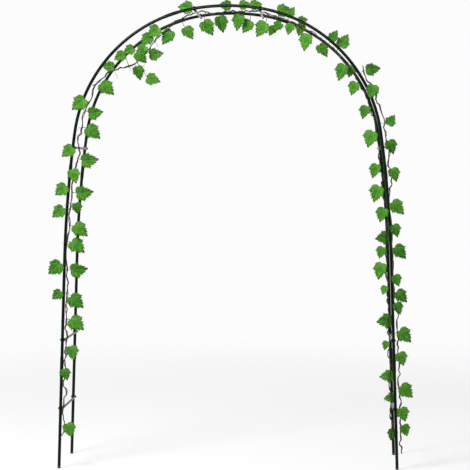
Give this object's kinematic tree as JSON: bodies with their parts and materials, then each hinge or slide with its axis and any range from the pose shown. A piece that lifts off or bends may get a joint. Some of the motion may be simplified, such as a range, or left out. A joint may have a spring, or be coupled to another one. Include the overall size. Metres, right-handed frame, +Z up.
{
  "type": "garden trellis arch",
  "caption": "Walk-through garden arch of two tubular steel hoops joined by cross rungs, dressed with a leafy garland.",
  "frame": {"origin": "on the ground in the middle of the four feet", "axes": "+X across the opening to the right, +Y from the front hoop to the rear hoop, +Z up"},
  "size_m": [1.8858, 0.4491, 2.4465],
  "materials": {
    "green_enamel": "gloss powder coat, very dark green",
    "fastener_steel": "blackened screws and nuts, satin",
    "black_plastic": "moulded polyethylene, matt",
    "stem_bark": "taped grey-brown stem, matt",
    "leaf": "stiffened leaf cloth, satin"
  },
  "bodies": {
    "root": {"front_leg_tube_left": "green_enamel", "front_leg_tube_right": "green_enamel", "front_side_tube_left": "green_enamel", "front_side_tube_right": "green_enamel", "front_shoulder_tube_left": "green_enamel", "front_shoulder_tube_right": "green_enamel", "front_crown_tube": "green_enamel", "rear_leg_tube_left": "green_enamel", "rear_leg_tube_right": "green_enamel", "rear_side_tube_left": "green_enamel", "rear_side_tube_right": "green_enamel", "rear_shoulder_tube_left": "green_enamel", "rear_shoulder_tube_right": "green_enamel", "rear_crown_tube": "green_enamel", "rung_low_left": "green_enamel", "rung_low_right": "green_enamel", "rung_middle_left": "green_enamel", "rung_middle_right": "green_enamel", "rung_high_left": "green_enamel", "rung_high_right": "green_enamel", "rung_top_left": "green_enamel", "rung_top_right": "green_enamel", "rung_screws": "fastener_steel", "rung_nuts": "fastener_steel", "foot_cap_front_left": "black_plastic", "foot_cap_front_right": "black_plastic", "foot_cap_rear_left": "black_plastic", "foot_cap_rear_right": "black_plastic", "garland_stem_left": "stem_bark", "garland_stem_crown": "stem_bark", "garland_stem_right_inner": "stem_bark", "garland_stem_right_outer": "stem_bark", "leaves_left_low": "leaf", "leaves_left_middle": "leaf", "leaves_left_high": "leaf", "leaves_shoulder_left": "leaf", "leaves_crown_left": "leaf", "leaves_crown_right": "leaf", "leaves_shoulder_right": "leaf", "leaves_right_inner_high": "leaf", "leaves_right_inner_low": "leaf", "leaves_right_outer_high": "leaf", "leaves_right_outer_low": "leaf"}
  },
  "joints": []
}
